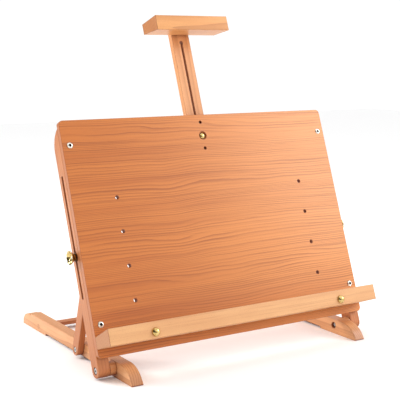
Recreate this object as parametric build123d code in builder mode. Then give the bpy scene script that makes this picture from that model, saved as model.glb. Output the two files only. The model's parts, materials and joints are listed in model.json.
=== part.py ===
from build123d import *
from math import atan2, cos, degrees, radians, sin
import os

# Tabletop drawing easel: a beech base with two runners, a plywood drawing board that leans back
# on two stiles, two slotted-strut stays with brass side knobs, a ledge and a sliding mast.
# Millimetres.  +X to the user's right, +Y to the back, +Z up.  The origin is on the table,
# midway between the runners' ends and midway between the two sides.

os.makedirs("parts", exist_ok=True)

# ---- driving dimensions ----------------------------------------------------------------------
lean = 20.3                  # degrees that the board leans back from vertical
clearance = 0.05             # radial running clearance of every pivot
arris = 0.9                  # rounding of the ledge's and head block's edges
board_arris = 0.6
base_arris = 1.3

runner_length = 521
runner_height = 32
runner_width = 24.6
runner_inside = 261          # from the centre plane to a runner's inner face
pad_length_front = 120
pad_length_rear = 126
relief_depth = 4.5

board_width = 650
board_low = 49               # heights up the board's slope, from the line where it would meet z = 0
board_high = 516
board_thick = 11
board_corner = 9

stile_width = 25
stile_depth = 29
slot_low = 166
slot_high = 410
slot_width = 7

pivot_y = -187               # the tilt hinge, across the front of the runners
pivot_z = 18
pivot_height = 28.4          # the same hinge, measured up the board's slope
pivot_depth = board_thick + stile_depth / 2

strut_foot_y = -44           # the struts' lower hinge on the runners
strut_reach = 220.6          # from the tilt hinge to the clamp bolt, along the stile
strut_width = 24
strut_thick = 13.6
strut_inside = 286

ledge_front = 58.3
ledge_bolt_x = 227
ledge_bolt_height = 79.2
hole_pitch = 68.7
hole_radius = 4

plate_thick = 2.9
mast_width = 43
mast_thick = 12.5
mast_low = 280
mast_high = 720
mast_front = -14             # front face of the mast, behind the board's front face
mast_slot_low = 300
mast_slot_width = 5.2
mast_entry_height = 682
mast_bolt_height = 470.2
guide_pin_heights = (442.7, 499.5)

head_width = 177.3
head_depth = 59
head_high = (720.8, 722.5)    # front and back heights of the head block's top

# ---- planes ----------------------------------------------------------------------------------
lean_sin = sin(radians(lean))
lean_cos = cos(radians(lean))
up_board = Vector(0, lean_sin, lean_cos)
out_of_board = Vector(0, -lean_cos, lean_sin)
pivot = Vector(0, pivot_y, pivot_z)
foot = pivot - up_board * pivot_height + out_of_board * pivot_depth

board_face = Plane(origin=foot, x_dir=(1, 0, 0), z_dir=out_of_board)
side_view = Plane(origin=foot, x_dir=up_board, z_dir=(1, 0, 0))      # local (height, depth)
toe_y = -runner_length / 2
stile_inside = board_width / 2 - stile_width

clamp = pivot + up_board * strut_reach
strut_foot = Vector(0, strut_foot_y, pivot_z)
strut_run = clamp - strut_foot
strut_length = strut_run.length
strut_angle = degrees(atan2(strut_run.Z, strut_run.Y))

sides = (("left", -1), ("right", 1))


def across(sign, centre):
    """Plane whose local x runs outwards along X through a centre, for turned pieces."""
    return Plane(origin=centre, x_dir=(sign, 0, 0), z_dir=(0, -sign, 0))


def through_board(x, height):
    """Plane whose local x runs out of the board's face at a place on the board."""
    origin = board_face.from_local_coords((x, height, 0))
    return Plane(origin=origin, x_dir=out_of_board, z_dir=(1, 0, 0))


def turned(plane, outline):
    """Solid turned about a plane's x axis from (along, radius) points."""
    with BuildPart() as piece:
        with BuildSketch(plane):
            with BuildLine():
                Polyline(*outline, close=True)
            make_face()
        revolve(axis=Axis(plane.origin, plane.x_dir))
    return piece.part


def domed(plane, base, height, radius, shank, tip):
    """Round-headed bolt: a dome on a base, with a plain shank down to its tip."""
    rim = base + 0.12 * height
    cap = base + height - rim
    ball = (radius ** 2 + cap ** 2) / (2 * cap)
    ball_centre = base + height - ball
    half_turn = atan2(radius, rim - ball_centre) / 2
    with BuildPart() as bolt:
        with BuildSketch(plane):
            with BuildLine():
                Polyline((base + height, 0), (tip, 0), (tip, shank - 0.6), (tip + 0.6, shank),
                         (base, shank), (base, radius), (rim, radius))
                ThreePointArc((rim, radius),
                              (ball_centre + ball * cos(half_turn), ball * sin(half_turn)),
                              (base + height, 0))
            make_face()
        revolve(axis=Axis(plane.origin, plane.x_dir))
    return bolt.part


def socket(plane, mouth, depth, across_flats):
    """Hexagon socket that opens towards a plane's +x at a distance along it."""
    with BuildPart() as recess:
        with BuildSketch(Plane(origin=plane.from_local_coords((mouth, 0, 0)), z_dir=plane.x_dir)):
            RegularPolygon(across_flats / 2, 6, major_radius=False)
        extrude(amount=-depth)
    return recess.part


def cross_recess(plane, mouth, depth, length, width):
    """Cross recess of a screw head, opening towards a plane's +x."""
    with BuildPart() as recess:
        with BuildSketch(Plane(origin=plane.from_local_coords((mouth, 0, 0)), z_dir=plane.x_dir)):
            Rectangle(length, width)
            Rectangle(width, length)
        extrude(amount=-depth, taper=12)
    return recess.part


def wing_nut(plane, seat, bore):
    """Wing nut that stands on a seat and faces a plane's -x, with two upswept wings."""
    hub_height = 8
    with BuildPart() as nut:
        with BuildSketch(plane):
            with BuildLine():
                Polyline((seat, bore), (seat, 6.2), (seat - 1, 6.6), (seat - hub_height, 4.6),
                         (seat - hub_height, bore), close=True)
            make_face()
        revolve(axis=Axis(plane.origin, plane.x_dir))
        with BuildSketch(plane):
            for turn in (1, -1):
                with BuildLine():
                    Line((seat - 1.5, turn * 5), (seat - 3, turn * 9))
                    ThreePointArc((seat - 3, turn * 9), (seat - 7.5, turn * 14.5),
                                  (seat - 12, turn * 12.5))
                    ThreePointArc((seat - 12, turn * 12.5), (seat - 10, turn * 8.5),
                                  (seat - 7, turn * 4))
                    Line((seat - 7, turn * 4), (seat - 1.5, turn * 5))
                make_face()
        extrude(amount=1.3, both=True)
    return nut.part


# ---- base: two runners, the rear crossbar and its screws -------------------------------------
crossbar_y = toe_y + 434.5
crossbar_depth = 21
crossbar_low = 8
crossbar_high = 16
crossbar_middle = (crossbar_low + crossbar_high) / 2
plug_radius = 4.5
plug_depth = 6
crossbar_screw_radius = 1.8

bolt_radius = 3              # M6 pivot and clamp bolts
nut_recess_radius = 6.9
nut_recess_depth = 9
nut_top = 4.5                # how far the sleeve nuts and bolt tips lie inside the runner's face

for side, sign in sides:
    with BuildPart() as runner:
        with BuildSketch(Plane.YZ.offset(sign * runner_inside)):
            with BuildLine():
                ThreePointArc((toe_y, 2), (toe_y + 16, 21), (toe_y + 48, runner_height))
                Polyline((toe_y + 48, runner_height), (toe_y + 477, runner_height),
                         (toe_y + 477, 27), (toe_y + 486, 27))
                ThreePointArc((toe_y + 486, 27), (toe_y + 510.7, 22.2), (toe_y + runner_length, 12))
                Polyline((toe_y + runner_length, 12), (toe_y + runner_length, 0),
                         (toe_y + runner_length - pad_length_rear, 0),
                         (toe_y + runner_length - pad_length_rear, relief_depth),
                         (toe_y + pad_length_front, relief_depth),
                         (toe_y + pad_length_front, 0), (toe_y + 1.5, 0), (toe_y, 2))
            make_face()
        extrude(amount=sign * runner_width)
        side_edges = runner.faces().filter_by(Axis.X).edges()
        fillet(side_edges.filter_by(lambda edge: edge.center().Z > 14), base_arris)
        for hinge_y in (pivot_y, strut_foot_y):
            hinge = across(sign, (0, hinge_y, pivot_z))
            add(turned(hinge, ((250, 0), (250, nut_recess_radius),
                               (runner_inside + nut_recess_depth, nut_recess_radius),
                               (runner_inside + nut_recess_depth, bolt_radius + clearance),
                               (290, bolt_radius + clearance), (290, 0))), mode=Mode.SUBTRACT)
        screw_line = across(sign, (0, crossbar_y, crossbar_middle))
        outer = runner_inside + runner_width
        add(turned(screw_line, ((250, 0), (250, crossbar_screw_radius),
                                (outer - plug_depth, crossbar_screw_radius),
                                (outer - plug_depth, plug_radius),
                                (outer + 1, plug_radius), (outer + 1, 0))), mode=Mode.SUBTRACT)
    runner.part.label = f"runner_{side}"
    export_step(runner.part, f"parts/runner_{side}.step")

with BuildPart() as crossbar:
    with BuildSketch(Plane.YZ.offset(-runner_inside)):
        with Locations((crossbar_y, crossbar_middle)):
            RectangleRounded(crossbar_depth, crossbar_high - crossbar_low, 1.2)
    extrude(amount=2 * runner_inside)
    for side, sign in sides:
        screw_line = across(sign, (0, crossbar_y, crossbar_middle))
        add(turned(screw_line, ((runner_inside - 27, 0), (runner_inside - 24, crossbar_screw_radius),
                                (runner_inside + 1, crossbar_screw_radius),
                                (runner_inside + 1, 0))), mode=Mode.SUBTRACT)
crossbar.part.label = "rear_crossbar"
export_step(crossbar.part, "parts/rear_crossbar.step")

with BuildPart() as crossbar_screws:
    for side, sign in sides:
        screw_line = across(sign, (0, crossbar_y, crossbar_middle))
        seat = runner_inside + runner_width - plug_depth
        add(turned(screw_line, ((runner_inside - 27, 0), (runner_inside - 24, crossbar_screw_radius),
                                (seat, crossbar_screw_radius), (seat, 3.8), (seat + 1.2, 3.6),
                                (seat + 2, 2.2), (seat + 2, 0))))
crossbar_screws.part.label = "crossbar_screws"
export_step(crossbar_screws.part, "parts/crossbar_screws.step")

with BuildPart() as crossbar_plugs:
    for side, sign in sides:
        screw_line = across(sign, (0, crossbar_y, crossbar_middle))
        outer = runner_inside + runner_width
        add(turned(screw_line, ((outer - plug_depth + 2.2, 0), (outer - plug_depth + 2.2, plug_radius),
                                (outer, plug_radius), (outer, 0))))
crossbar_plugs.part.label = "crossbar_plugs"
export_step(crossbar_plugs.part, "parts/crossbar_plugs.step")

# ---- tilt hinge: bolt, spacer disc and sleeve nut on each runner ------------------------------
pivot_head_radius = 6.4
pivot_recess_radius = 7
pivot_recess_depth = 4.2
stile_outside = board_width / 2
nut_bore = bolt_radius + 0.02
bolt_tip = runner_inside + nut_top


def sleeve_nut(plane):
    """Round nut in the bottom of a runner's recess, with a chamfered and dished outer end."""
    seat = runner_inside + nut_recess_depth
    return turned(plane, ((bolt_tip + 0.4, nut_bore), (bolt_tip, 4.2), (bolt_tip, 5.1),
                          (bolt_tip + 0.8, 5.8), (seat, 5.8), (seat, nut_bore)))



for side, sign in sides:
    hinge = across(sign, pivot)
    head_seat = stile_outside - pivot_recess_depth + 0.1

    with BuildPart() as spacer:
        add(turned(hinge, ((runner_inside + runner_width, bolt_radius + clearance),
                           (runner_inside + runner_width, 13.5), (runner_inside + runner_width + 0.5, 14),
                           (stile_inside - 0.6, 14), (stile_inside - 0.1, 13.5),
                           (stile_inside - 0.1, bolt_radius + clearance))))
    spacer.part.label = f"pivot_spacer_{side}"
    export_step(spacer.part, f"parts/pivot_spacer_{side}.step")

    with BuildPart() as pivot_bolt:
        add(turned(hinge, ((bolt_tip, 0), (bolt_tip, bolt_radius - 0.6),
                           (bolt_tip + 0.6, bolt_radius), (head_seat, bolt_radius),
                           (head_seat, pivot_head_radius), (head_seat + 2.6, pivot_head_radius),
                           (head_seat + 3.4, pivot_head_radius - 0.8), (head_seat + 3.6, 0))))
        add(socket(hinge, head_seat + 4, 2.6, 4), mode=Mode.SUBTRACT)
    pivot_bolt.part.label = f"front_pivot_bolt_{side}"
    export_step(pivot_bolt.part, f"parts/front_pivot_bolt_{side}.step")

    with BuildPart() as pivot_nut:
        add(sleeve_nut(hinge))
    pivot_nut.part.label = f"front_pivot_nut_{side}"
    export_step(pivot_nut.part, f"parts/front_pivot_nut_{side}.step")

# ---- struts, their lower hinge bolts and the bolts at their tops -------------------------------
strut_recess_radius = 6
strut_recess_depth = 3.4
strut_outside = strut_inside + strut_thick

for side, sign in sides:
    with BuildPart() as strut:
        strut_side = Plane(origin=strut_foot + Vector(sign * strut_inside, 0, 0),
                           x_dir=strut_run, z_dir=(1, 0, 0))
        with BuildSketch(strut_side):
            with Locations((strut_length / 2, 0)):
                SlotCenterToCenter(strut_length, strut_width)
        extrude(amount=sign * strut_thick)
        fillet(strut.faces().filter_by(Axis.X).edges(), base_arris)
        add(turned(across(sign, strut_foot),
                   ((strut_inside - 1, 0), (strut_inside - 1, bolt_radius + clearance),
                    (strut_outside - strut_recess_depth, bolt_radius + clearance),
                    (strut_outside - strut_recess_depth, strut_recess_radius),
                    (strut_outside + 1, strut_recess_radius), (strut_outside + 1, 0))),
            mode=Mode.SUBTRACT)
        add(turned(across(sign, clamp),
                   ((strut_inside - 0.1, 0), (strut_inside - 0.1, 6.1), (strut_inside + 3, nut_bore),
                    (strut_outside + 1, nut_bore), (strut_outside + 1, 0))), mode=Mode.SUBTRACT)
    strut.part.label = f"strut_{side}"
    export_step(strut.part, f"parts/strut_{side}.step")

    foot_hinge = across(sign, strut_foot)
    head_seat = strut_outside - strut_recess_depth + 0.1
    with BuildPart() as strut_bolt:
        add(turned(foot_hinge, ((bolt_tip, 0), (bolt_tip, bolt_radius - 0.6),
                                (bolt_tip + 0.6, bolt_radius), (head_seat, bolt_radius),
                                (head_seat, 5.5), (head_seat + 2.4, 5.5), (head_seat + 3, 4.9),
                                (head_seat + 3.1, 0))))
        add(socket(foot_hinge, head_seat + 3.5, 2.4, 4), mode=Mode.SUBTRACT)
    strut_bolt.part.label = f"strut_pivot_bolt_{side}"
    export_step(strut_bolt.part, f"parts/strut_pivot_bolt_{side}.step")

    with BuildPart() as strut_nut:
        add(sleeve_nut(foot_hinge))
    strut_nut.part.label = f"strut_pivot_nut_{side}"
    export_step(strut_nut.part, f"parts/strut_pivot_nut_{side}.step")

    with BuildPart() as top_bolt:
        add(turned(across(sign, clamp),
                   ((strut_inside + 0.2, 0), (strut_inside + 0.2, 5.7), (strut_inside + 3, bolt_radius),
                    (strut_outside, bolt_radius), (strut_outside, 0))))
    top_bolt.part.label = f"strut_top_bolt_{side}"
    export_step(top_bolt.part, f"parts/strut_top_bolt_{side}.step")

# ---- drawing board -----------------------------------------------------------------------------
corner_screw_x = 309
corner_screw_heights = (112.5, 464.8)
corner_screw_radius = 2
corner_places = [(sign * corner_screw_x, height)
                 for side, sign in sides for height in corner_screw_heights]
ledge_holes = [(sign * ledge_bolt_x, ledge_bolt_height + row * hole_pitch)
               for side, sign in sides for row in range(5)]
pin_radius = 2.5
button_recess_radius = 9
button_recess_depth = 3.2
pin_recess_radius = 3.4
pin_recess_depth = 4.5

with BuildPart() as board:
    with BuildSketch(board_face):
        with Locations((0, (board_low + board_high) / 2)):
            RectangleRounded(board_width, board_high - board_low, board_corner)
    extrude(amount=-board_thick)
    fillet(board.faces().filter_by(Axis(foot, out_of_board)).edges(), board_arris)
    with BuildSketch(board_face):
        with Locations(*ledge_holes):
            Circle(hole_radius)
        with Locations(*corner_places):
            Circle(corner_screw_radius + 0.1)
        with Locations(*[(0, height) for height in (*guide_pin_heights, mast_bolt_height)]):
            Circle(pin_radius + 0.01)
    extrude(amount=-board_thick, mode=Mode.SUBTRACT)
    with BuildSketch(board_face):
        with Locations((0, mast_bolt_height)):
            Circle(button_recess_radius)
    extrude(amount=-button_recess_depth, mode=Mode.SUBTRACT)
    with BuildSketch(board_face):
        with Locations(*[(0, height) for height in guide_pin_heights]):
            Circle(pin_recess_radius)
    extrude(amount=-pin_recess_depth, mode=Mode.SUBTRACT)
board.part.label = "drawing_board"
export_step(board.part, "parts/drawing_board.step")

# ---- stiles behind the board, their screws and cup washers ---------------------------------------
top_arc_centre = (460, 6.5)
top_arc_radius = top_arc_centre[1] + board_thick + stile_depth
top_arc_end = top_arc_centre[0] + (top_arc_radius ** 2 - (top_arc_centre[1] + board_thick) ** 2) ** 0.5
top_arc_middle = (top_arc_centre[0] + top_arc_radius * sin(radians(34)),
                  top_arc_centre[1] - top_arc_radius * cos(radians(34)))
stile_back = -board_thick - stile_depth
half_depth = stile_depth / 2

for side, sign in sides:
    with BuildPart() as stile:
        with BuildSketch(side_view.offset(sign * stile_inside)):
            with BuildLine():
                ThreePointArc((pivot_height, -board_thick), (pivot_height - half_depth, -pivot_depth),
                              (pivot_height, stile_back))
                Line((pivot_height, stile_back), (top_arc_centre[0], stile_back))
                ThreePointArc((top_arc_centre[0], stile_back), top_arc_middle,
                              (top_arc_end, -board_thick))
                Line((top_arc_end, -board_thick), (pivot_height, -board_thick))
            make_face()
        extrude(amount=sign * stile_width)
        fillet(stile.faces().filter_by(Axis.X).edges().filter_by(
            lambda edge: abs(board_face.to_local_coords(edge.center()).Z + board_thick) > 1), base_arris)
        with BuildSketch(side_view.offset(sign * stile_inside)):
            with Locations(((slot_low + slot_high) / 2, -pivot_depth)):
                SlotOverall(slot_high - slot_low, slot_width)
        extrude(amount=sign * stile_width, mode=Mode.SUBTRACT)
        add(turned(across(sign, pivot),
                   ((stile_inside - 1, 0), (stile_inside - 1, bolt_radius + clearance),
                    (stile_outside - pivot_recess_depth, bolt_radius + clearance),
                    (stile_outside - pivot_recess_depth, pivot_recess_radius),
                    (stile_outside + 1, pivot_recess_radius), (stile_outside + 1, 0))),
            mode=Mode.SUBTRACT)
        for height in corner_screw_heights:
            line = through_board(sign * corner_screw_x, height)
            add(turned(line, ((-5, 0), (-5, corner_screw_radius), (-28, corner_screw_radius),
                              (-31, 0))), mode=Mode.SUBTRACT)
    stile.part.label = f"stile_{side}"
    export_step(stile.part, f"parts/stile_{side}.step")

with BuildPart() as corner_screws:
    for x, height in corner_places:
        line = through_board(x, height)
        add(turned(line, ((-31, 0), (-28, corner_screw_radius), (0.7, corner_screw_radius), (0.7, 4.9),
                          (1.5, 4.9), (2.1, 4.2), (2.3, 3.2), (2.3, 0))))
        add(socket(line, 2.4, 2.1, 3.2), mode=Mode.SUBTRACT)
corner_screws.part.label = "corner_screws"
export_step(corner_screws.part, "parts/corner_screws.step")

with BuildPart() as corner_cups:
    for x, height in corner_places:
        line = through_board(x, height)
        add(turned(line, ((0, corner_screw_radius + 0.1), (0, 5.7), (0.4, 6), (1, 5.9), (1.4, 5.5),
                          (1.3, 5.1), (0.6, 4.9), (0.6, corner_screw_radius + 0.1))))
corner_cups.part.label = "corner_cups"
export_step(corner_cups.part, "parts/corner_cups.step")

# ---- ledge with its two bolts, washers and wing nuts ---------------------------------------------
ledge_low = (67.2, 66.6)          # front and back heights of the underside
ledge_high = (100, 90.3)          # front and back heights of the top
ledge_bolt_radius = 3
ledge_washer_thick = 1.5
ledge_nut_seat = -board_thick - ledge_washer_thick - 0.1
ledge_bolt_places = [(sign * ledge_bolt_x, ledge_bolt_height) for side, sign in sides]

with BuildPart() as ledge:
    with BuildSketch(side_view.offset(-board_width / 2)):
        with BuildLine():
            Polyline((ledge_low[0], ledge_front), (ledge_high[0], ledge_front), (ledge_high[1], 0),
                     (ledge_low[1], 0), close=True)
        make_face()
    extrude(amount=board_width)
    fillet(ledge.edges().filter_by(
        lambda edge: board_face.to_local_coords(edge.center()).Z > 1), arris)
    with BuildSketch(board_face):
        with Locations(*ledge_bolt_places):
            Circle(ledge_bolt_radius + 0.1)
    extrude(amount=ledge_front, mode=Mode.SUBTRACT)
ledge.part.label = "ledge"
export_step(ledge.part, "parts/ledge.step")

for side, sign in sides:
    bolt_line = through_board(sign * ledge_bolt_x, ledge_bolt_height)
    ledge_bolt = domed(bolt_line, ledge_front, 8, 8.7, ledge_bolt_radius, -26.5)
    ledge_bolt.label = f"ledge_bolt_{side}"
    export_step(ledge_bolt, f"parts/ledge_bolt_{side}.step")

    ledge_nut = wing_nut(bolt_line, ledge_nut_seat, ledge_bolt_radius + clearance)
    ledge_nut.label = f"ledge_wing_nut_{side}"
    export_step(ledge_nut, f"parts/ledge_wing_nut_{side}.step")

with BuildPart() as ledge_washers:
    for x, height in ledge_bolt_places:
        add(turned(through_board(x, height),
                   ((-board_thick, nut_bore), (-board_thick, 8), (-board_thick - 1.2, 8),
                    (-board_thick - ledge_washer_thick, 7.7),
                    (-board_thick - ledge_washer_thick, nut_bore))))
ledge_washers.part.label = "ledge_washers"
export_step(ledge_washers.part, "parts/ledge_washers.step")

# ---- mast guide on the back of the board: plate, two pins, clamp bolt, washer and wing nut --------
mast_back = mast_front - mast_thick
mast_washer_thick = 1.2
mast_nut_seat = mast_back - mast_washer_thick - 0.15

with BuildPart() as guide_plate:
    with BuildSketch(board_face.offset(-board_thick)):
        with Locations((0, 470)):
            RectangleRounded(64, 84, 6)
        with Locations(*[(0, height) for height in (*guide_pin_heights, mast_bolt_height)]):
            Circle(pin_radius + 0.01, mode=Mode.SUBTRACT)
    extrude(amount=-plate_thick)
guide_plate.part.label = "mast_guide_plate"
export_step(guide_plate.part, "parts/mast_guide_plate.step")

with BuildPart() as guide_pins:
    for height in guide_pin_heights:
        add(turned(through_board(0, height),
                   ((mast_back + 0.5, 0), (mast_back + 0.5, pin_radius - 0.5),
                    (mast_back + 1, pin_radius), (-pin_recess_depth - 0.5, pin_radius),
                    (-pin_recess_depth, pin_radius - 0.5), (-pin_recess_depth, 0))))
guide_pins.part.label = "mast_guide_pins"
export_step(guide_pins.part, "parts/mast_guide_pins.step")

mast_bolt_line = through_board(0, mast_bolt_height)
mast_clamp_bolt = domed(mast_bolt_line, -button_recess_depth, 3.8, 6.8, pin_radius, -39)
mast_clamp_bolt.label = "mast_clamp_bolt"
export_step(mast_clamp_bolt, "parts/mast_clamp_bolt.step")

mast_clamp_washer = turned(mast_bolt_line,
                           ((mast_back - 0.1, pin_radius + 0.02), (mast_back - 0.1, 8),
                            (mast_back - 0.9, 8), (mast_back - 0.1 - mast_washer_thick, 7.7),
                            (mast_back - 0.1 - mast_washer_thick, pin_radius + 0.02)))
mast_clamp_washer.label = "mast_clamp_washer"
export_step(mast_clamp_washer, "parts/mast_clamp_washer.step")

mast_wing_nut = wing_nut(mast_bolt_line, mast_nut_seat, pin_radius + clearance)
mast_wing_nut.label = "mast_wing_nut"
export_step(mast_wing_nut, "parts/mast_wing_nut.step")

# ---- sliding mast with its head block -------------------------------------------------------------
head_front = mast_front + head_depth
head_underside = (689, 699.5)     # front and back heights of the head's sloping underside
head_screw_places = [(x, 711) for x in (-12, 12)]
head_screw_radius = 2

with BuildPart() as mast:
    with BuildSketch(board_face.offset(mast_front)):
        with Locations((0, (mast_low + mast_high) / 2)):
            RectangleRounded(mast_width, mast_high - mast_low, 4)
        with Locations((0, (mast_slot_low + mast_entry_height) / 2)):
            SlotCenterToCenter(mast_entry_height - mast_slot_low - mast_slot_width, mast_slot_width,
                               rotation=90, mode=Mode.SUBTRACT)
        with Locations((0, mast_entry_height)):
            Circle(hole_radius, mode=Mode.SUBTRACT)
    extrude(amount=-mast_thick)
    for x, height in head_screw_places:
        add(turned(through_board(x, height),
                   ((mast_front + 1, 0), (mast_front + 1, head_screw_radius + 0.02),
                    (mast_back + 2.5, head_screw_radius + 0.02), (mast_back, 4.1),
                    (mast_back - 1, 4.1), (mast_back - 1, 0))), mode=Mode.SUBTRACT)
mast.part.label = "mast"
export_step(mast.part, "parts/mast.step")

with BuildPart() as head_block:
    with BuildSketch(side_view.offset(-head_width / 2)):
        with BuildLine():
            Polyline((head_underside[0], head_front), (head_high[0], head_front),
                     (head_high[1], mast_front),
                     (head_underside[1], mast_front), close=True)
        make_face()
    extrude(amount=head_width)
    fillet(head_block.edges(), arris)
    for x, height in head_screw_places:
        add(turned(through_board(x, height),
                   ((mast_front - 1, 0), (mast_front - 1, head_screw_radius), (3, head_screw_radius),
                    (6, 0))), mode=Mode.SUBTRACT)
head_block.part.label = "head_block"
export_step(head_block.part, "parts/head_block.step")

with BuildPart() as head_screws:
    for x, height in head_screw_places:
        line = through_board(x, height)
        back_view = Plane(origin=line.origin, x_dir=-out_of_board, z_dir=(1, 0, 0))
        add(turned(line, ((6, 0), (3, head_screw_radius), (mast_back + 2.5, head_screw_radius),
                          (mast_back + 0.4, 3.7), (mast_back + 0.1, 3.6), (mast_back + 0.1, 0))))
        add(cross_recess(back_view, -mast_back, 1.8, 3.8, 1), mode=Mode.SUBTRACT)
head_screws.part.label = "head_screws"
export_step(head_screws.part, "parts/head_screws.step")

# ---- side clamps: bolt, washer and knob, which slide together in a stile's slot -------------------
knob_radius = 14
knob_seat = stile_outside + 1.9
knob_flutes = 10
washer_radius = 9

for side, sign in sides:
    clamp_line = across(sign, clamp)
    with BuildPart() as clamp_bolt:
        tip = stile_outside + 9.4
        add(turned(clamp_line, ((stile_inside + 0.2, 0), (stile_inside + 0.2, bolt_radius),
                                (tip - 0.8, bolt_radius), (tip - 0.2, 2), (tip, 0))))
    clamp_bolt.part.label = f"clamp_bolt_{side}"
    export_step(clamp_bolt.part, f"parts/clamp_bolt_{side}.step")

    with BuildPart() as clamp_washer:
        seat = stile_outside + 0.2
        add(turned(clamp_line, ((seat, nut_bore), (seat, washer_radius), (seat + 1.3, washer_radius),
                                (seat + 1.6, washer_radius - 0.3), (seat + 1.6, nut_bore))))
    clamp_washer.part.label = f"clamp_washer_{side}"
    export_step(clamp_washer.part, f"parts/clamp_washer_{side}.step")

    # a hub that flares into a dished, fluted bell
    bell = ((0, bolt_radius + clearance), (0, 6.6), (0.6, 7.2), (3.4, 7.2), (4.6, 7.8), (7, 10.6),
            (9.4, 13), (10.6, 13.8), (11.4, 14), (12, 13.7), (12, 13.2), (11, 12.2), (8.6, 9.4),
            (7, 6.6), (6.3, 4.6), (6.3, bolt_radius + clearance))
    with BuildPart() as knob:
        add(turned(clamp_line, [(knob_seat + along, radius) for along, radius in bell]))
        rim_view = Plane(origin=clamp_line.from_local_coords((knob_seat + 3.5, 0, 0)),
                         x_dir=(0, 1, 0), z_dir=(sign, 0, 0))
        with BuildSketch(rim_view):
            with PolarLocations(knob_radius + 1.6, knob_flutes):
                Circle(2.8)
        extrude(amount=9, mode=Mode.SUBTRACT)
    knob.part.label = f"clamp_knob_{side}"
    export_step(knob.part, f"parts/clamp_knob_{side}.step")
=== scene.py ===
import json
import math

import bpy
from mathutils import Matrix, Vector


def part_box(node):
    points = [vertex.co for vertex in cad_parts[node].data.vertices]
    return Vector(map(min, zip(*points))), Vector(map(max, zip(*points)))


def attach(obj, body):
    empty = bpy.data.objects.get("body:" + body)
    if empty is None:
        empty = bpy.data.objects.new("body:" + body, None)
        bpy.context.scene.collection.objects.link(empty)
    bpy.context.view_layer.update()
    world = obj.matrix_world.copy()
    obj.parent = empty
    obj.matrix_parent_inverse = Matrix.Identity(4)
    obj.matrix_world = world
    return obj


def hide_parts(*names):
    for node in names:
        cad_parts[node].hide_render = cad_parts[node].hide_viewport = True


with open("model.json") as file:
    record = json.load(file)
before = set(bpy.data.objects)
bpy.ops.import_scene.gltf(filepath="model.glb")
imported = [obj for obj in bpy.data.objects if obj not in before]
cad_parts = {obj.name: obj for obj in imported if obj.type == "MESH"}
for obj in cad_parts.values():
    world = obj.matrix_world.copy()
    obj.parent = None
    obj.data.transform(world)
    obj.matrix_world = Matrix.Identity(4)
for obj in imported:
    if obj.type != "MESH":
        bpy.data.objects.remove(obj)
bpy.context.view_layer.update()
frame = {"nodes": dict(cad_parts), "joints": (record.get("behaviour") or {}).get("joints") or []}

# Looks for the tabletop easel: varnished beech, a veneered drawing board, brass and zinc fittings.
# Metres, in the shared frame: +X to the user's right, +Y to the back, +Z up.

joints = {joint["name"]: joint for joint in frame["joints"]}

# ---- directions and places from the frame ------------------------------------------------------
across = Vector((1, 0, 0))
back = Vector((0, 1, 0))
up = Vector((0, 0, 1))
up_board = Vector(joints["mast_slide"]["axis"])
out_of_board = Vector(joints["mast_nut_turn"]["axis"])
strut_foot = Vector(joints["strut_left_swing"]["pos_m"])
clamp_point = Vector(joints["knob_left_turn"]["pos_m"])
up_strut = Vector((0, clamp_point.y - strut_foot.y, clamp_point.z - strut_foot.z)).normalized()

# ---- camera ------------------------------------------------------------------------------------
camera_place = Vector((-1.11976, -1.8055, 0.62242))
camera_azimuth = math.radians(-32.48)
camera_pitch = math.radians(8.75)
camera_lens = 88.41
sensor_width = 36

camera = bpy.data.objects.new("camera", bpy.data.cameras.new("camera"))
bpy.context.scene.collection.objects.link(camera)
camera.data.lens = camera_lens
camera.data.sensor_width = sensor_width
camera.location = camera_place
view_line = Vector((-math.sin(camera_azimuth) * math.cos(camera_pitch),
                    math.cos(camera_azimuth) * math.cos(camera_pitch),
                    -math.sin(camera_pitch)))
camera.rotation_mode = "QUATERNION"
camera.rotation_quaternion = view_line.to_track_quat("-Z", "Y")
bpy.context.scene.camera = camera


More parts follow.
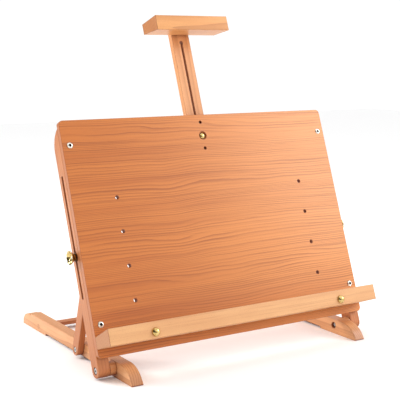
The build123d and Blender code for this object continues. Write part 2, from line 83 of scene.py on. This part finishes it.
# ---- shader building ---------------------------------------------------------------------------
class Graph:
    """A material's node tree, with one short method for each kind of node that it needs."""

    def __init__(self, name):
        self.material = bpy.data.materials.new(name)
        self.material.use_nodes = True
        self.tree = self.material.node_tree
        self.tree.nodes.clear()
        self.shader = self.node("ShaderNodeBsdfPrincipled")
        output = self.node("ShaderNodeOutputMaterial")
        self.link(self.shader.outputs["BSDF"], output.inputs["Surface"])

    def node(self, kind, **settings):
        made = self.tree.nodes.new(kind)
        for key, value in settings.items():
            setattr(made, key, value)
        return made

    def link(self, source, target):
        self.tree.links.new(source, target)

    def feed(self, target, value):
        """Sets a socket, or links another node's output to it."""
        if isinstance(value, bpy.types.NodeSocket):
            self.link(value, target)
        else:
            target.default_value = value

    def maths(self, operation, first, second=0.0, third=0.0):
        made = self.node("ShaderNodeMath", operation=operation)
        for socket, value in zip(made.inputs, (first, second, third)):
            self.feed(socket, value)
        return made.outputs[0]

    def vector(self, operation, first, second):
        made = self.node("ShaderNodeVectorMath", operation=operation)
        self.feed(made.inputs[0], first)
        self.feed(made.inputs[1], second)
        return made.outputs[0]

    def dot(self, first, second):
        made = self.node("ShaderNodeVectorMath", operation="DOT_PRODUCT")
        self.feed(made.inputs[0], first)
        self.feed(made.inputs[1], second)
        return made.outputs["Value"]

    def noise(self, place, scale, detail):
        made = self.node("ShaderNodeTexNoise")
        self.feed(made.inputs["Vector"], place)
        self.feed(made.inputs["Scale"], scale)
        self.feed(made.inputs["Detail"], detail)
        self.feed(made.inputs["Roughness"], 0.55)
        return made

    def streaky(self, place, fineness, detail, roughness=0.55):
        """Noise with its own fineness along each axis, so that it can run in streaks."""
        made = self.noise(self.vector("MULTIPLY", place, fineness), 1, detail)
        self.feed(made.inputs["Roughness"], roughness)
        return made.outputs["Fac"]

    def range(self, value, low, high, new_low=0.0, new_high=1.0):
        made = self.node("ShaderNodeMapRange", interpolation_type="SMOOTHSTEP")
        for key, number in (("Value", value), ("From Min", low), ("From Max", high),
                            ("To Min", new_low), ("To Max", new_high)):
            self.feed(made.inputs[key], number)
        return made.outputs["Result"]

    def blend(self, share, first, second):
        """Mixes two colours. Sockets 6 and 7 and output 2 are the mix node's colour ones."""
        made = self.node("ShaderNodeMix", data_type="RGBA")
        self.feed(made.inputs["Factor"], share)
        self.feed(made.inputs[6], first)
        self.feed(made.inputs[7], second)
        return made.outputs[2]

    def bump(self, height, distance, strength):
        made = self.node("ShaderNodeBump")
        self.feed(made.inputs["Height"], height)
        self.feed(made.inputs["Distance"], distance)
        self.feed(made.inputs["Strength"], strength)
        return made.outputs["Normal"]

    def surface(self, **values):
        for key, value in values.items():
            self.feed(self.shader.inputs[key.replace("_", " ")], value)


def colour(red, green, blue):
    """A linear colour from the 0-255 values of a paint swatch."""
    linear = [((level / 255 + 0.055) / 1.055) ** 2.4 for level in (red, green, blue)]
    return (*linear, 1.0)


# ---- masks -------------------------------------------------------------------------------------
mask_samples = 6


def rounded_normal(graph, radius):
    """The world normal as if every edge were rounded to this radius."""
    rounded = graph.node("ShaderNodeBevel", samples=mask_samples)
    rounded.inputs["Radius"].default_value = radius
    return rounded.outputs["Normal"]


def edge_mask(graph, radius):
    """How near a point is to a sharp edge: 0 on a flat face, 1 on the arris."""
    world_normal = graph.node("ShaderNodeNewGeometry").outputs["Normal"]
    return graph.range(graph.dot(rounded_normal(graph, radius), world_normal), 0.995, 0.92)


def facing_share(graph, direction):
    """How squarely a surface faces a direction of its own piece, either way: 0 to 1.

    The normal is the piece's own, so the answer stays the same when the piece swings or slides.
    """
    own_normal = graph.node("ShaderNodeTexCoord").outputs["Normal"]
    return graph.maths("ABSOLUTE", graph.dot(own_normal, direction))


def painted_shade_mask(graph, reach):
    """Painted shade by how far other surfaces shut a point in: 0 in the open, 1 deep in a slot or
    hole.
    """
    shelter = graph.node("ShaderNodeAmbientOcclusion", samples=mask_samples)
    shelter.inputs["Distance"].default_value = reach
    return graph.range(shelter.outputs["AO"], 0.62, 0.16)


# ---- wood --------------------------------------------------------------------------------------
arris_brown = (112, 54, 26)
arris_reach = 0.0018
# painted shade: slots, holes and gaps between parts are darkened to this brown
painted_shade_brown = (116, 40, 14)
painted_shade_reach = 0.02
burnt_brown = (84, 36, 16)
burnt_reach = 0.0022
grain_relief = 0.00005

beech_light = (210, 150, 99)
beech_mid = (196, 132, 83)
beech_dark = (150, 86, 44)
beech_roughness = 0.36
ring_width = 0.0052
rings_per_scale = 0.314
fleck_strength = 0.45

veneer_light = (194, 112, 46)
veneer_mid = (177, 95, 35)
# painted light: the paler tone that the board is painted towards at its lit right side
painted_light_tone = (228, 152, 82)
veneer_dark = (122, 52, 14)
veneer_roughness = 0.34
board_offset = (0.37, 0.21, 0)
guide_offset = (1.1, 0.5, 0)
# painted light: the board's lightening runs across it between these two places
painted_light_from = board_offset[0] - 0.3
painted_light_to = board_offset[0] + 0.34
ply_pale = (188, 118, 74)
ply_brown = (142, 80, 44)
ply_thickness = 0.011 / 7


def grain_place(graph, along, wide, offset):
    """Coordinates that run along a piece's grain (x), across it (y) and into it (z)."""
    along = along.normalized()
    wide = (wide - along * wide.dot(along)).normalized()
    turn = Matrix((along, wide, along.cross(wide)))
    mapping = graph.node("ShaderNodeMapping")
    graph.link(graph.node("ShaderNodeTexCoord").outputs["Object"], mapping.inputs["Vector"])
    mapping.inputs["Rotation"].default_value = turn.to_euler("XYZ")
    mapping.inputs["Location"].default_value = offset
    return mapping.outputs["Vector"]


def varnish(graph, tone, roughness, streaks, pores):
    """Satin varnish over a wood colour, darker on the arrises, painted shade in slots, open grain.
    """
    arris = graph.maths("MULTIPLY", edge_mask(graph, arris_reach), 0.62)
    # painted shade: the wood is darkened and made rougher in slots, holes and gaps
    painted_shade = painted_shade_mask(graph, painted_shade_reach)
    edged = graph.blend(arris, tone, colour(*arris_brown))
    shaded = graph.blend(graph.maths("MULTIPLY", painted_shade, 0.85), edged, colour(*painted_shade_brown))
    uneven = graph.range(streaks, 0.2, 0.8, roughness, roughness + 0.12)
    height = graph.maths("SUBTRACT", graph.maths("MULTIPLY", streaks, 0.5), pores)
    graph.surface(Base_Color=shaded,
                  Roughness=graph.maths("ADD", graph.maths("MULTIPLY", painted_shade, 0.4), uneven),
                  Normal=graph.bump(height, grain_relief, 0.6),
                  Coat_Weight=0.2, Coat_Roughness=0.22, Specular_IOR_Level=0.3)


def growth_rings(graph, place):
    """Rings round a pith line that wanders slowly: 0 in the early wood, 1 at each ring's edge."""
    slow = graph.vector("MULTIPLY", place, (0.12, 1, 1))
    wander = graph.noise(slow, 14, 2)
    wander.inputs["Roughness"].default_value = 0.5
    centred = graph.vector("SUBTRACT", wander.outputs["Color"], (0.5, 0.5, 0.5))
    drift = graph.vector("MULTIPLY", centred, (0, 0.014, 0.014))
    rings = graph.node("ShaderNodeTexWave", wave_type="RINGS", rings_direction="X",
                       wave_profile="SAW")
    graph.link(graph.vector("ADD", slow, drift), rings.inputs["Vector"])
    rings.inputs["Scale"].default_value = rings_per_scale / ring_width
    rings.inputs["Distortion"].default_value = 1.6
    rings.inputs["Detail"].default_value = 2
    rings.inputs["Detail Scale"].default_value = 0.6
    return graph.maths("POWER", rings.outputs["Fac"], 2.5)


def burnt_end(graph, along):
    """The arris round a sawn end, which soaks up more varnish: 1 there and 0 elsewhere."""
    own_normal = graph.node("ShaderNodeVectorTransform", vector_type="NORMAL",
                            convert_from="WORLD", convert_to="OBJECT")
    graph.link(rounded_normal(graph, burnt_reach), own_normal.inputs[0])
    turned = graph.maths("ABSOLUTE", graph.dot(own_normal.outputs[0], along))
    arris = graph.maths("MULTIPLY", graph.range(turned, 0.1, 0.4), edge_mask(graph, burnt_reach))
    return graph.maths("MULTIPLY", arris, graph.range(turned, 0.99, 0.9))


def beech(name, along, wide, offset, light=beech_light, mid=beech_mid, ring_share=0.4):
    """Varnished solid beech: growth rings, long streaks, short ray flecks and darker sawn ends."""
    graph = Graph(name)
    place = grain_place(graph, along, wide, offset)
    dark = colour(*beech_dark)
    streaks = graph.streaky(place, (6, 420, 420), 5, 0.6)
    clouds = graph.streaky(place, (5, 22, 22), 3)
    flecks = graph.range(graph.streaky(place, (330, 1900, 1300), 1), 0.62, 0.74)
    end_grain = graph.range(facing_share(graph, along), 0.35, 0.85)
    ring_strength = graph.maths("MULTIPLY_ADD", end_grain, 0.35, ring_share)
    ring_edge = graph.maths("MULTIPLY", growth_rings(graph, place), ring_strength)

    tone = graph.blend(graph.range(clouds, 0.32, 0.68), colour(*light), colour(*mid))
    tone = graph.blend(graph.maths("MULTIPLY", end_grain, 0.6), tone, dark)
    tone = graph.blend(ring_edge, tone, dark)
    tone = graph.blend(graph.range(streaks, 0.5, 0.8, 0, 0.35), tone, dark)
    tone = graph.blend(graph.maths("MULTIPLY", flecks, fleck_strength), tone, dark)
    tone = graph.blend(graph.maths("MULTIPLY", burnt_end(graph, along), 0.8), tone,
                       colour(*burnt_brown))
    varnish(graph, tone, beech_roughness, streaks, flecks)
    return graph.material


def growth_lines(graph, height, spacing, shift, sharpness):
    """Repeating ramp across the grain, dark just before each step."""
    turns = graph.maths("FRACT", graph.maths("MULTIPLY_ADD", height, 1 / spacing, shift))
    return graph.maths("POWER", turns, sharpness)


def ply_edge(graph):
    """The colour of the board's sawn edges, which show the plies."""
    own_place = graph.node("ShaderNodeTexCoord").outputs["Object"]
    depth = graph.dot(own_place, out_of_board / (2 * ply_thickness))
    from_middle = graph.maths("ABSOLUTE",
                              graph.maths("SUBTRACT", graph.maths("FRACT", depth), 0.5))
    share = graph.maths("MULTIPLY", graph.range(from_middle, 0.2, 0.3), 0.55)
    return graph.blend(share, colour(*ply_pale), colour(*ply_brown))


def veneer(name, along, wide, offset):
    """Flat-sawn veneer: uneven wavy growth lines, each dark at one side and fading at the other."""
    graph = Graph(name)
    place = grain_place(graph, along, wide, offset)
    flat = graph.vector("MULTIPLY", place, (1, 1, 0))
    separate = graph.node("ShaderNodeSeparateXYZ")
    graph.link(flat, separate.inputs[0])
    dark = colour(*veneer_dark)

    # the lines follow the sheet's height, which wave, spread and ripple push up and down
    wave = graph.streaky(flat, (4.2, 1.6, 0), 1, 0.4)
    spread = graph.streaky(flat, (0.5, 13, 0), 2)
    ripple = graph.streaky(flat, (22, 9, 0), 2)
    height = graph.maths("MULTIPLY_ADD", wave, 0.026, separate.outputs["Y"])
    height = graph.maths("MULTIPLY_ADD", spread, 0.072, height)
    height = graph.maths("MULTIPLY_ADD", ripple, 0.0018, height)

    broad_strength = graph.range(graph.streaky(flat, (1.5, 16, 0), 1), 0.36, 0.64, 0.05, 0.9)
    thin_strength = graph.range(graph.streaky(flat, (3.4, 40.8, 0), 1), 0.36, 0.6, 0.2, 0.75)
    broad = graph.maths("MULTIPLY", growth_lines(graph, height, 0.0175, 0.2, 11), broad_strength)
    thin = graph.maths("MULTIPLY", growth_lines(graph, height, 0.0049, 0.6, 4), thin_strength)
    bands = graph.range(graph.streaky(flat, (1.2, 30, 0), 2), 0.4, 0.8)
    streaks = graph.streaky(place, (7, 620, 620), 4, 0.65)
    pores = graph.range(graph.streaky(place, (210, 2400, 2400), 1), 0.62, 0.76)

    # painted light: the board's sheet is painted from darker at the left to paler at the right, as
    # the light and sheen fall from the right; the guide plate's is painted pale all over
    painted_light = graph.range(separate.outputs["X"], painted_light_from, painted_light_to, 0, 0.6)
    tone = graph.blend(bands, colour(*veneer_light), colour(*veneer_mid))
    tone = graph.blend(painted_light, tone, colour(*painted_light_tone))
    tone = graph.blend(graph.maths("MULTIPLY", broad, 0.72), tone, dark)
    tone = graph.blend(graph.maths("MULTIPLY", thin, 0.95), tone, dark)
    tone = graph.blend(graph.range(streaks, 0.48, 0.8, 0, 0.4), tone, dark)
    tone = graph.blend(graph.maths("MULTIPLY", pores, 0.3), tone, dark)

    on_edge = graph.range(facing_share(graph, out_of_board), 0.8, 0.4)
    varnish(graph, graph.blend(on_edge, tone, ply_edge(graph)), veneer_roughness, streaks, pores)
    return graph.material


# ---- metal -------------------------------------------------------------------------------------
grime_brown = (70, 54, 36)
shadow_brown = (26, 18, 12)
turning_marks = 2600
turning_relief = 0.00002


def metal(name, bright, dull, scale, smooth, rough):
    """Plated metal that is slightly clouded, with a fine rough surface and painted shade in
    recesses.
    """
    graph = Graph(name)
    place = graph.node("ShaderNodeTexCoord").outputs["Object"]
    cloud = graph.noise(place, scale, 4).outputs["Fac"]
    marks = graph.noise(place, turning_marks, 2).outputs["Fac"]
    grime = graph.maths("MULTIPLY", edge_mask(graph, 0.0006), 0.3)
    # painted shade: recesses and gaps round the fittings are darkened towards shadow_brown
    painted_shade = graph.maths("MULTIPLY", painted_shade_mask(graph, 0.007), 0.85)
    tone = graph.blend(graph.range(cloud, 0.35, 0.72), colour(*bright), colour(*dull))
    tone = graph.blend(grime, tone, colour(*grime_brown))
    graph.surface(Base_Color=graph.blend(painted_shade, tone, colour(*shadow_brown)), Metallic=1.0,
                  Roughness=graph.range(cloud, 0.3, 0.8, smooth, rough),
                  Normal=graph.bump(marks, turning_relief, 0.35))
    return graph.material


def paint(node, material):
    """Gives a CAD node one material."""
    mesh = frame["nodes"][node].data
    mesh.materials.clear()
    mesh.materials.append(material)


# ---- wooden parts ------------------------------------------------------------------------------
runner_tones = ((226, 170, 122), (214, 153, 104))
stile_tones = ((196, 126, 78), (178, 108, 63))
mast_tones = ((222, 158, 106), (210, 144, 92))
head_tones = ((222, 158, 98), (211, 144, 84))
ledge_tones = ((218, 165, 114), (210, 154, 104))

paint("drawing_board", veneer("veneer", across, up_board, board_offset))
paint("mast_guide_plate", veneer("guide_ply", across, up_board, guide_offset))
paint("ledge", beech("ledge_beech", across, up_board, (0, 0.1, 0.05), *ledge_tones,
                     ring_share=0.1))
paint("head_block", beech("head_beech", across, up_board, (0, -0.6, 0.03), *head_tones,
                          ring_share=0.48))
paint("mast", beech("mast_beech", up_board, across, (0, 0.03, 0.05), *mast_tones))
paint("rear_crossbar", beech("crossbar_beech", across, back, (0, 0.05, 0.03), *stile_tones))
for side, shift in (("left", 0.02), ("right", -0.03)):
    paint(f"runner_{side}", beech(f"runner_beech_{side}", back, up, (shift, 0.02, shift * 4),
                                  *runner_tones))
    paint(f"stile_{side}", beech(f"stile_beech_{side}", up_board, out_of_board,
                                 (0, shift, shift * 4), *stile_tones))
    paint(f"strut_{side}", beech(f"strut_beech_{side}", up_strut, across,
                                 (0, shift, shift * 4), *stile_tones))
    paint(f"pivot_spacer_{side}", beech(f"spacer_beech_{side}", across, up,
                                        (0, shift, shift * 4)))
paint("crossbar_plugs", beech("plug_beech", back, up, (0, 0.03, 0.08)))

# ---- metal parts -------------------------------------------------------------------------------
brass = metal("lacquered_brass", (222, 196, 132), (168, 136, 74), 240, 0.1, 0.2)
zinc = metal("zinc_plate", (205, 205, 203), (150, 150, 152), 300, 0.22, 0.4)
nickel = metal("bright_nickel", (246, 243, 234), (222, 218, 206), 260, 0.2, 0.34)
bronzed = metal("bronzed_steel", (112, 74, 44), (66, 42, 26), 300, 0.3, 0.45)
blackened = metal("blackened_steel", (46, 42, 40), (26, 24, 24), 320, 0.4, 0.6)

brass_nodes = ["ledge_bolt_left", "ledge_bolt_right", "mast_clamp_bolt", "mast_wing_nut"]
zinc_nodes = ["crossbar_screws", "head_screws", "ledge_washers", "mast_clamp_washer"]
nickel_nodes = ["corner_cups", "corner_screws"]
bronzed_nodes = ["clamp_washer_left", "clamp_washer_right"]
blackened_nodes = ["mast_guide_pins"]
for side in ("left", "right"):
    brass_nodes += [f"clamp_knob_{side}", f"ledge_wing_nut_{side}"]
    zinc_nodes += [f"front_pivot_bolt_{side}", f"strut_pivot_bolt_{side}",
                   f"front_pivot_nut_{side}", f"strut_pivot_nut_{side}",
                   f"strut_top_bolt_{side}", f"clamp_bolt_{side}"]
for finish, nodes in ((brass, brass_nodes), (zinc, zinc_nodes), (nickel, nickel_nodes),
                      (blackened, blackened_nodes), (bronzed, bronzed_nodes)):
    for node in nodes:
        paint(node, finish)

# ---- painted shade: the corner screws' sockets and head tops are painted black -----------------
socket_radius = 0.0019
socket_depth = 0.003
flush = 0.00002
screw_mesh = frame["nodes"]["corner_screws"].data
# painted shade: the black steel stands for the dark hole in each cup
screw_mesh.materials.append(blackened)
head_top = max(out_of_board.dot(vertex.co) for vertex in screw_mesh.vertices)
cup_points = [vertex.co for vertex in frame["nodes"]["corner_cups"].data.vertices]
cup_middle = sum(up_board.dot(point) for point in cup_points) / len(cup_points)


def cup_centre(right, upper):
    """Place of one screw cup on the board, across it and up it."""
    mine = [point for point in cup_points
            if (point.x > 0) == right and (up_board.dot(point) > cup_middle) == upper]
    heights = [up_board.dot(point) for point in mine]
    return ((min(point.x for point in mine) + max(point.x for point in mine)) / 2,
            (min(heights) + max(heights)) / 2)


cup_centres = [cup_centre(right, upper) for right in (False, True) for upper in (False, True)]
# painted shade: socket faces and head tops get the black steel, for the dark hole in each cup
for polygon in screw_mesh.polygons:
    centre = polygon.center
    gap = min(math.hypot(centre.x - x, up_board.dot(centre) - height)
              for x, height in cup_centres)
    sunk = head_top - out_of_board.dot(centre)
    on_top = abs(sunk) < flush and polygon.normal.dot(out_of_board) > 0.99
    in_socket = gap < socket_radius and sunk < socket_depth
    polygon.material_index = 1 if on_top or in_socket else 0

# ---- side knobs: turned brass bells with ten petals in the dish --------------------------------
petals = 10
knob_steps = 200
# the petals wave the rim beyond this radius, and the depth beyond this distance from the seat
petal_radius = 8
petal_reach = 7
rim_wave = 0.6
depth_wave = 0.55
# distance from the seat and radius in millimetres, and how deep the petals cut there
knob_outline = ((0, 3.06, 0), (0, 6.4, 0), (0.3, 6.9, 0), (0.9, 7.2, 0), (3.2, 7.2, 0),
                (4.2, 7.5, 0.1), (5.6, 8.8, 0.4), (7.2, 10.7, 0.7), (8.8, 12.4, 0.9),
                (10.2, 13.5, 1), (11, 13.9, 1), (11.6, 13.9, 1), (11.9, 13.6, 1),
                (11.8, 13.1, 1), (10.8, 11.9, 1.4), (9.4, 10, 1.6), (8.2, 8, 1.4),
                (7.3, 6.2, 0.8), (6.9, 5, 0.2), (6.9, 4.2, 0), (6.6, 3.6, 0), (6.4, 3.06, 0))


def knob_mesh(name, sign, seat):
    """Closed ring mesh swept round the knob's axis, with its radius and dish waved into petals."""
    points = []
    faces = []
    rows = len(knob_outline)
    for step in range(knob_steps):
        angle = 2 * math.pi * step / knob_steps
        groove = (0.5 - 0.5 * math.cos(petals * angle)) ** 2
        for reach, radius, cut in knob_outline:
            ring = radius - rim_wave * cut * groove if radius > petal_radius else radius
            depth = reach - depth_wave * cut * groove if reach > petal_reach and cut else reach
            points.append((seat + sign * depth / 1000,
                           clamp_point.y + ring / 1000 * math.sin(angle),
                           clamp_point.z + ring / 1000 * math.cos(angle)))
        following = (step + 1) % knob_steps
        for row in range(rows):
            corners = [step * rows + row, step * rows + (row + 1) % rows,
                       following * rows + (row + 1) % rows, following * rows + row]
            faces.append(corners if sign > 0 else corners[::-1])
    mesh = bpy.data.meshes.new(name)
    mesh.from_pydata(points, [], faces)
    mesh.polygons.foreach_set("use_smooth", [True] * len(faces))
    mesh.materials.append(brass)
    return mesh


for side, sign in (("left", -1), ("right", 1)):
    node = f"clamp_knob_{side}"
    low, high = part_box(node)
    seat = high[0] if sign < 0 else low[0]
    knob = bpy.data.objects.new(f"petal_knob_{side}", knob_mesh(f"petal_knob_{side}", sign, seat))
    bpy.context.scene.collection.objects.link(knob)
    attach(knob, f"knob_{side}")
    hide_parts(node)

# ---- floor -------------------------------------------------------------------------------------
floor_half = 6
floor_mesh = bpy.data.meshes.new("floor")
floor_mesh.from_pydata([(-floor_half, -floor_half, 0), (floor_half, -floor_half, 0),
                        (floor_half, floor_half, 0), (-floor_half, floor_half, 0)], [],
                       [(0, 1, 2, 3)])
floor = bpy.data.objects.new("floor", floor_mesh)
bpy.context.scene.collection.objects.link(floor)
floor_paint = Graph("floor_paint")
floor_paint.surface(Base_Color=(0.97, 0.97, 0.97, 1), Roughness=0.9)
floor_mesh.materials.append(floor_paint.material)

# ---- world: white for the camera, an even dome for the light, bright and dark for reflections ----
white = (1, 1, 1, 1)
dome_strength = 1.0
backdrop_strength = 1.05
darkest_reflection = 0.1
brightest_reflection = 1.5
# what polished metal and varnish mirror is brightest this way, above and at the right
bright_side = (0.55, -0.25, 0.8)

world = bpy.data.worlds.new("studio")
world.use_nodes = True
tree = world.node_tree


def white_light():
    """A white background shader."""
    made = tree.nodes.new("ShaderNodeBackground")
    made.inputs["Color"].default_value = white
    return made


def choose(ray_kind, otherwise, chosen):
    """Shows one shader to a kind of ray and the other to the rest."""
    made = tree.nodes.new("ShaderNodeMixShader")
    tree.links.new(rays.outputs[ray_kind], made.inputs[0])
    tree.links.new(otherwise.outputs[0], made.inputs[1])
    tree.links.new(chosen.outputs[0], made.inputs[2])
    return made


rays = tree.nodes.new("ShaderNodeLightPath")
dome = tree.nodes["Background"]
dome.inputs["Color"].default_value = white
dome.inputs["Strength"].default_value = dome_strength
backdrop = white_light()
backdrop.inputs["Strength"].default_value = backdrop_strength

mirrored = white_light()
sky = tree.nodes.new("ShaderNodeTexCoord")
lift = tree.nodes.new("ShaderNodeVectorMath")
lift.operation = "DOT_PRODUCT"
lift.inputs[1].default_value = bright_side
tree.links.new(sky.outputs["Generated"], lift.inputs[0])
shade = tree.nodes.new("ShaderNodeMapRange")
shade.interpolation_type = "SMOOTHSTEP"
for key, number in (("From Min", 0.06), ("From Max", 0.75),
                    ("To Min", darkest_reflection), ("To Max", brightest_reflection)):
    shade.inputs[key].default_value = number
tree.links.new(lift.outputs["Value"], shade.inputs["Value"])
tree.links.new(shade.outputs["Result"], mirrored.inputs["Strength"])

seen = choose("Is Camera Ray", choose("Is Glossy Ray", dome, mirrored), backdrop)
tree.links.new(seen.outputs[0], tree.nodes["World Output"].inputs["Surface"])
bpy.context.scene.world = world
bpy.context.scene.view_settings.view_transform = "Standard"


# ---- lights ------------------------------------------------------------------------------------
def softbox(name, place, size, power):
    """Square light aimed at the middle of the easel."""
    light = bpy.data.lights.new(name, "AREA")
    light.shape = "SQUARE"
    light.size = size
    light.energy = power
    lamp = bpy.data.objects.new(name, light)
    lamp.location = place
    lamp.rotation_mode = "QUATERNION"
    lamp.rotation_quaternion = (Vector((0, 0, 0.3)) - Vector(place)).to_track_quat("-Z", "Y")
    bpy.context.scene.collection.objects.link(lamp)


softbox("key", (1.9, -1.3, 1.45), 1.2, 31)
softbox("side_fill", (-2.0, 1.6, 1.6), 1.0, 52)
